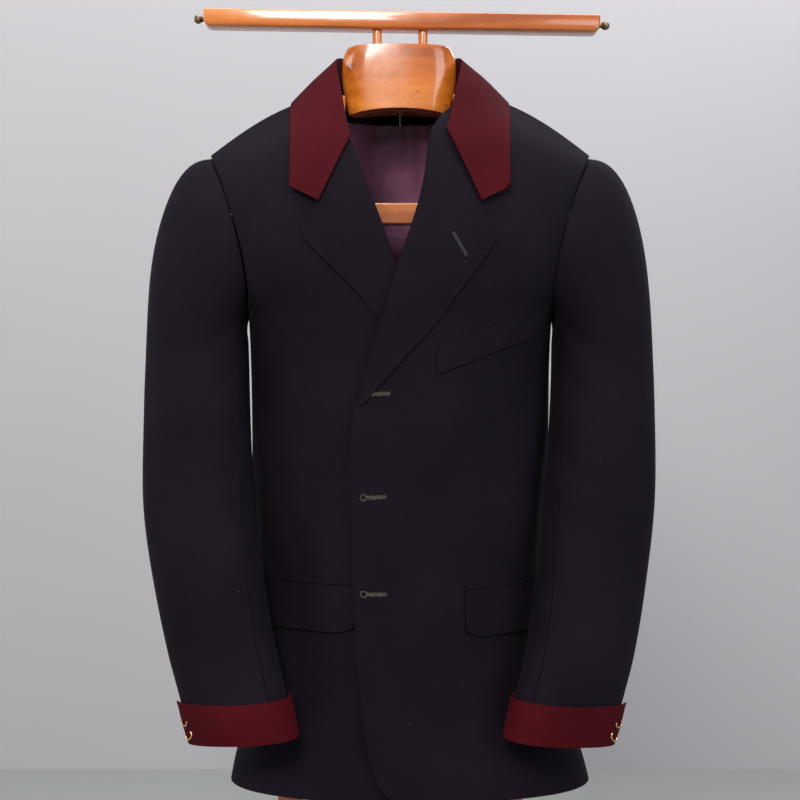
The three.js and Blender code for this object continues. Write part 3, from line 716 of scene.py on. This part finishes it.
class Threads:
    """Many short threads joined into one mesh."""

    def __init__(self, sides: int = 5) -> None:
        """Starts with no thread.

        Args:
            sides: How many sides a thread has.
        """
        self.sides = sides
        self.points: list[tuple[float, float, float]] = []
        self.faces: list[tuple[int, ...]] = []

    def thread(self, path: Sequence[Vector], radius: float, taper: float = 0.55) -> None:
        """Adds one thread.

        Args:
            path: Its points in metres.
            radius: Its radius in metres.
            taper: The share of the radius at its ends.
        """
        start = len(self.points)
        last = len(path) - 1
        for k, point in enumerate(path):
            way = (path[min(k + 1, last)] - path[max(k - 1, 0)]).normalized()
            side = way.cross(Vector((0.31, -0.9, 0.29))).normalized()
            other = way.cross(side)
            wide = radius * (taper if k in (0, last) else 1.0)
            for s in range(self.sides):
                angle = 2 * math.pi * s / self.sides
                self.points.append(tuple(point + wide * (math.cos(angle) * side + math.sin(angle) * other)))
        for k in range(last):
            for s in range(self.sides):
                a, b = start + k * self.sides, start + (k + 1) * self.sides
                n = (s + 1) % self.sides
                self.faces.append((a + s, a + n, b + n, b + s))
        self.faces.append(tuple(start + s for s in reversed(range(self.sides))))
        self.faces.append(tuple(start + last * self.sides + s for s in range(self.sides)))

    def piece(self, name: str) -> bpy.types.Object:
        """Makes the mesh.

        Args:
            name: The piece's name.

        Returns:
            The piece.
        """
        mesh = bpy.data.meshes.new(name)
        mesh.from_pydata(self.points, [], self.faces)
        made = bpy.data.objects.new(name, mesh)
        bpy.context.scene.collection.objects.link(made)
        smooth(made, 70.0)
        return made


@dataclass
class Buttonhole:
    """A worked buttonhole: purl stitches round a slot, with an eyelet at the end by the edge.

    Attributes:
        name: The piece's name.
        start: The eyelet's x and z in millimetres.
        end: The far end's x and z in millimetres.
        eyelet: The eyelet's radius in millimetres, or 0 for a plain end.
        reach: How far the stitches reach from the slot, in millimetres.
        fray: How uneven the stitches are.
    """

    name: str
    start: tuple[float, float]
    end: tuple[float, float]
    eyelet: float
    reach: float
    fray: float

    def build(self, surface: Callable[[float, float], tuple[Vector, Vector]], thread: bpy.types.Material, rng: np.random.Generator) -> bpy.types.Object:
        """Works the stitches onto the cloth.

        Args:
            surface: Finds points on the cloth.
            thread: The thread's finish.
            rng: Seeded randomness.

        Returns:
            The piece.
        """
        a, b = np.array(self.start), np.array(self.end)
        way = (b - a) / np.linalg.norm(b - a)
        over = np.array([-way[1], way[0]])
        work = Threads()

        def lay(spot: np.ndarray, lift: float) -> Vector:
            """Places one point over the cloth.

            Args:
                spot: Its x and z in millimetres.
                lift: Its height in millimetres.

            Returns:
                The point.
            """
            point, normal = surface(spot[0] * MM, spot[1] * MM)
            return point + normal * (lift * MM)

        def stitch(foot: np.ndarray, out: np.ndarray, reach: float) -> None:
            """Adds one stitch across the edge of the slot.

            Args:
                foot: Where it starts, at the slot.
                out: Its way from the slot.
                reach: Its length in millimetres.
            """
            lean = out + rng.normal(0, 0.16 * self.fray, 2)
            path = [lay(foot, 0.15), lay(foot + lean * reach * 0.35, 0.62), lay(foot + lean * reach, 0.1)]
            work.thread(path, 0.00036 * rng.uniform(0.85, 1.2))

        length = np.linalg.norm(b - a)
        for s in np.arange(self.eyelet * 1.1, length, 0.72):
            for side in (-1, 1):
                reach = self.reach * rng.uniform(1 - 0.3 * self.fray, 1 + 0.3 * self.fray)
                stitch(a + way * (s + rng.uniform(-0.2, 0.2)) + side * over * 0.35, side * over, reach)
        if self.eyelet:
            for turn in np.linspace(0.5, 2 * math.pi - 0.5, 22):
                out = way * math.cos(turn) + over * math.sin(turn)
                stitch(a + out * self.eyelet, out, self.reach * rng.uniform(0.8, 1.2))
        for side in (-1, 1):
            spots = [a + way * s + side * over * 0.5 for s in np.linspace(self.eyelet, length, 14)]
            work.thread([lay(p, 0.45 + 0.12 * math.sin(2.3 * k)) for k, p in enumerate(spots)], 0.0004)
        for _ in range(int(9 * self.fray)):
            foot = a + way * rng.uniform(0, length) + over * rng.uniform(-1.2, 1.2)
            loose = [foot + rng.normal(0, 1.3, 2) for _ in range(3)]
            work.thread([lay(foot, 0.5), *(lay(p, 0.5 + 0.4 * rng.random()) for p in loose)], 0.00014)
        piece = work.piece(self.name)
        finish_piece(piece, thread, "gilt")
        return piece


@dataclass
class HardPiece:
    """A piece of wood, metal or horn with softened edges.

    Attributes:
        node: The node that it stands for.
        slot: The record's slot for it.
        levels: How often its faces are divided.
        edge: The width of its rounded edges in metres, or 0.
        shape: Moves its points, or None.
    """

    node: str
    slot: str
    levels: int = 0
    edge: float = 0.0
    shape: Callable[[np.ndarray], np.ndarray] | None = None

    def build(self, material: bpy.types.Material) -> bpy.types.Object:
        """Builds the piece.

        Args:
            material: Its finish.

        Returns:
            The piece.
        """
        piece = refined(self.node, self.node + "_fine", self.levels, 32.0)
        if self.edge:
            modifier = piece.modifiers.new("edges", "BEVEL")
            modifier.width = self.edge
            modifier.segments = 3
            modifier.limit_method = "ANGLE"
            modifier.angle_limit = math.radians(32)
            modifier.harden_normals = True
        if self.shape:
            points = self.shape(coordinates(piece))
            piece.data.vertices.foreach_set("co", points.ravel())
            piece.data.update()
        finish_piece(piece, material, self.slot, self.node)
        return piece


def arched_block(points: np.ndarray) -> np.ndarray:
    """Hollows the neck block's underside.

    Args:
        points: The block's points in metres.

    Returns:
        The moved points.
    """
    moved = points.copy()
    low = np.clip((1.092 - points[:, 2]) / 0.019, 0.0, 1.0)
    across = np.clip(1.0 - (points[:, 0] / 0.05) ** 2, 0.0, 1.0)
    moved[:, 2] += 0.0045 * low * across
    return moved


class Coat:
    """The coat: its cloth, collar, cuffs, lining, pockets, buttons and stitching."""

    def __init__(self, rng: np.random.Generator) -> None:
        """Sets out the finishes and the pieces.

        Args:
            rng: Seeded randomness.
        """
        self.rng = rng
        self.wool = WoolFinish("navy_wool", (0.0046, 0.0028, 0.0055), (0.0096, 0.0060, 0.0114), 0.02, (0.50, 0.44, 0.62), 0.4).build()
        self.maroon = WoolFinish("maroon_cloth", (0.030, 0.0010, 0.0028), (0.062, 0.0021, 0.0058), 0.014, (0.95, 0.25, 0.3), 0.12).build()
        self.satin = SatinFinish("aubergine_satin", (0.095, 0.031, 0.068), (0.21, 0.07, 0.148)).build()
        self.thread = ThreadFinish("buttonhole_thread", (0.022, 0.019, 0.014), (0.075, 0.064, 0.046)).build()
        self.dark_thread = ThreadFinish("navy_thread", (0.008, 0.007, 0.012), (0.04, 0.035, 0.05)).build()
        self.gilt = MetalFinish("gilt", (0.55, 0.30, 0.10), (0.92, 0.64, 0.30), 0.12).build()
        self.horn = MetalFinish("horn", (0.008, 0.008, 0.01), (0.02, 0.02, 0.024), 0.2).build()
        self.panels: dict[str, ClothPiece] = {}

    def cloth(self, node: str, flat: tuple[float, float], area: float, held: Held, rests_on: tuple[str, ...], folds: Sequence[Fold], centre: tuple[float, float] = (0.0, 0.0), levels: int = 2) -> ClothPiece:
        """Notes one cut piece.

        Args:
            node: Its node.
            flat: Its flat width and length in metres.
            area: Its flat area in square metres.
            held: How it is carried.
            rests_on: What carries it.
            folds: Its folds.
            centre: The axis that its folds point from.
            levels: How often its faces are divided.

        Returns:
            The piece, not yet built.
        """
        piece = ClothPiece(node, flat, area, held, rests_on, folds, centre, levels)
        self.panels[node] = piece
        return piece

    def build(self) -> None:
        """Builds every piece of the coat."""
        for side, sign in (("left", 1), ("right", -1)):
            hanger = ("hanger_" + side,)
            self.cloth("front_" + side, (0.33, 0.80), 0.197 if sign > 0 else 0.184, Held.HUNG, hanger, BODY_FOLDS).build(self.wool, "navy_wool")
            self.cloth("back_" + side, (0.26, 0.80), 0.154, Held.HUNG, hanger, BODY_FOLDS).build(self.wool, "navy_wool")
            axis = (sign * 0.212, -0.045)
            on = ("front_" + side,)
            self.cloth("sleeve_top_" + side, (0.25, 0.68), 0.124, Held.HUNG, on, SLEEVE_FOLDS, axis).build(self.wool, "navy_wool")
            self.cloth("sleeve_under_" + side, (0.20, 0.64), 0.078, Held.HUNG, on, SLEEVE_FOLDS, axis).build(self.wool, "navy_wool")
            cuff = self.cloth("cuff_" + side, (0.33, 0.052), 0.0141, Held.FOLDED, ("sleeve_top_" + side,), (), axis, 1)
            cuff.build(self.maroon, "maroon_cloth")
            self.cloth("lapel_" + side, (0.14, 0.33) if sign > 0 else (0.125, 0.30), 0.0163 if sign > 0 else 0.0128, Held.FOLDED, on, BODY_FOLDS).build(self.wool, "navy_wool")
            jet = refined("jet_" + side, "jet_" + side + "_cloth", 1)
            finish_piece(jet, self.wool, "navy_wool", "jet_" + side)
            flap = self.cloth("flap_" + side, (0.15, 0.053), 0.0077, Held.HUNG, on, BODY_FOLDS)
            flap.build(self.wool, "navy_wool", [jet])
        self.cloth("breast_welt", (0.118, 0.03), 0.0034, Held.LAID, ("front_left",), BODY_FOLDS).build(self.wool, "navy_wool")
        self.cloth("lining_back", (0.25, 0.25), 0.0448, Held.HUNG, ("back_left", "back_right"), LINING_FOLDS).build(self.satin, "satin")
        self.cloth("collar", (0.62, 0.125), 0.0483, Held.FOLDED, ("front_left", "front_right"), (), (0.0, 0.02)).build(self.maroon, "maroon_cloth")
        for name in ("top", "middle", "bottom"):
            HardPiece("button_" + name, "horn", 1).build(self.horn)
        for side in ("left", "right"):
            for place in ("upper", "lower"):
                HardPiece(f"pin_{side}_{place}", "gilt", 1).build(self.gilt)
        self.stitch()

    def stitch(self) -> None:
        """Works the buttonholes."""
        front = self.panels["front_left"].surface()
        lapel = self.panels["lapel_left"].surface()
        for name, z in (("top", 756), ("middle", 647), ("bottom", 545)):
            start = -33 if name == "top" else -37
            Buttonhole("buttonhole_" + name, (start, z), (start + 24, z + 0.6), 2.4, 1.7, 1.0).build(front, self.thread, self.rng)
        Buttonhole("buttonhole_lapel", (57, 925), (71, 901), 0.0, 1.3, 0.35).build(lapel, self.dark_thread, self.rng)


class ValetStand:
    """The wooden stand with its trouser bar, hanger, posts and feet."""

    def __init__(self) -> None:
        """Sets out the finishes."""
        self.wood = {grain: WoodFinish("wood_" + grain.name.lower(), grain, 0.25).build() for grain in Grain}
        self.glossy = WoodFinish("wood_block", Grain.X, 0.6).build()
        self.brass = MetalFinish("aged_brass", (0.05, 0.032, 0.018), (0.32, 0.23, 0.14), 0.25).build()

    def build(self) -> None:
        """Builds every piece of the stand."""
        HardPiece("trouser_bar", "varnished_wood", 0, 0.0012).build(self.wood[Grain.X])
        HardPiece("neck_block", "varnished_wood", 2, 0.0, arched_block).build(self.glossy)
        for side in ("left", "right"):
            HardPiece("knob_" + side, "aged_brass", 1).build(self.brass)
            HardPiece("peg_" + side, "varnished_wood", 0, 0.0004).build(self.wood[Grain.Z])
            HardPiece("hanger_" + side, "varnished_wood", 0, 0.001).build(self.wood[Grain.X])
            HardPiece("post_" + side, "varnished_wood", 0, 0.0025).build(self.wood[Grain.Z])
            HardPiece("foot_" + side, "varnished_wood", 0, 0.0012).build(self.wood[Grain.Y])
        HardPiece("chest_bar", "varnished_wood", 0, 0.002).build(self.wood[Grain.X])
        HardPiece("base_rail", "varnished_wood", 0, 0.002).build(self.wood[Grain.X])


@dataclass(frozen=True)
class SoftLight:
    """One soft studio light.

    Attributes:
        name: Its name.
        place: Where it is, in metres.
        aim: What it points at.
        size: Its width and height in metres.
        power: Its power in watts.
        colour: Its colour.
    """

    name: str
    place: tuple[float, float, float]
    aim: tuple[float, float, float]
    size: tuple[float, float]
    power: float
    colour: tuple[float, float, float] = (1.0, 1.0, 1.0)

    def build(self) -> None:
        """Places the light."""
        data = bpy.data.lights.new(self.name, "AREA")
        data.shape = "RECTANGLE"
        data.size, data.size_y = self.size
        data.energy = self.power
        data.color = self.colour
        lamp = bpy.data.objects.new(self.name, data)
        lamp.location = self.place
        lamp.rotation_euler = (Vector(self.aim) - Vector(self.place)).to_track_quat("-Z", "Y").to_euler()
        bpy.context.scene.collection.objects.link(lamp)


class Studio:
    """The floor, the wall behind, the lights and the camera."""

    def build(self) -> None:
        """Builds the studio."""
        self.surface("floor", [(-6, -6, 0), (6, -6, 0), (6, 6, 0), (-6, 6, 0)], (0.27, 0.275, 0.27))
        self.surface("wall", [(-6, 1.15, 0), (6, 1.15, 0), (6, 1.15, 6), (-6, 1.15, 6)], (0.385, 0.378, 0.395))
        for light in (
            SoftLight("key", (-0.5, -2.4, 2.3), (0, 0, 0.85), (1.1, 0.9), 62, (1.0, 0.97, 0.93)),
            SoftLight("fill", (1.9, -1.9, 1.3), (0, 0, 0.7), (1.6, 1.8), 30, (0.93, 0.96, 1.0)),
            SoftLight("top", (0.1, -0.3, 3.0), (0, 0.1, 1.0), (2.2, 1.4), 34),
            SoftLight("behind", (0.9, 0.95, 2.1), (0, 0, 0.85), (0.9, 0.7), 9),
            SoftLight("side", (-2.3, -0.2, 1.2), (-0.2, 0, 0.8), (0.9, 1.8), 20),
            SoftLight("wall_wash", (0.0, 0.3, 2.9), (0, 1.15, 0.9), (3.0, 0.4), 26),
        ):
            light.build()
        world = bpy.data.worlds.new("studio")
        bpy.context.scene.world = world
        world.use_nodes = True
        world.node_tree.nodes["Background"].inputs["Color"].default_value = (0.86, 0.88, 0.93, 1.0)
        world.node_tree.nodes["Background"].inputs["Strength"].default_value = 0.42
        self.camera()

    def surface(self, name: str, corners: Sequence[tuple[float, float, float]], colour: tuple[float, float, float]) -> None:
        """Adds one plain surface.

        Args:
            name: Its name.
            corners: Its corners in metres.
            colour: Its colour.
        """
        mesh = bpy.data.meshes.new(name)
        mesh.from_pydata(corners, [], [(0, 1, 2, 3)])
        made = bpy.data.objects.new(name, mesh)
        mesh.materials.append(StageFinish(name, colour).build())
        bpy.context.scene.collection.objects.link(made)

    def camera(self) -> None:
        """Places the camera where the photo was taken from."""
        data = bpy.data.cameras.new("camera")
        data.sensor_width = 36.0
        data.lens = 36.0 * PICTURE_DISTANCE / PICTURE_HEIGHT
        camera = bpy.data.objects.new("camera", data)
        camera.location = (CAMERA_X, CAMERA_Y, CAMERA_Z)
        camera.rotation_euler = (math.radians(90), 0, 0)
        bpy.context.scene.collection.objects.link(camera)
        bpy.context.scene.camera = camera
        bpy.context.scene.view_settings.view_transform = "Standard"


def main() -> None:
    """Builds the coat, the stand and the studio."""
    logging.basicConfig(level=logging.INFO, format="%(message)s")
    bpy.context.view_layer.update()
    rng = np.random.default_rng(7)
    Coat(rng).build()
    ValetStand().build()
    Studio().build()


if __name__ == "__main__":
    main()
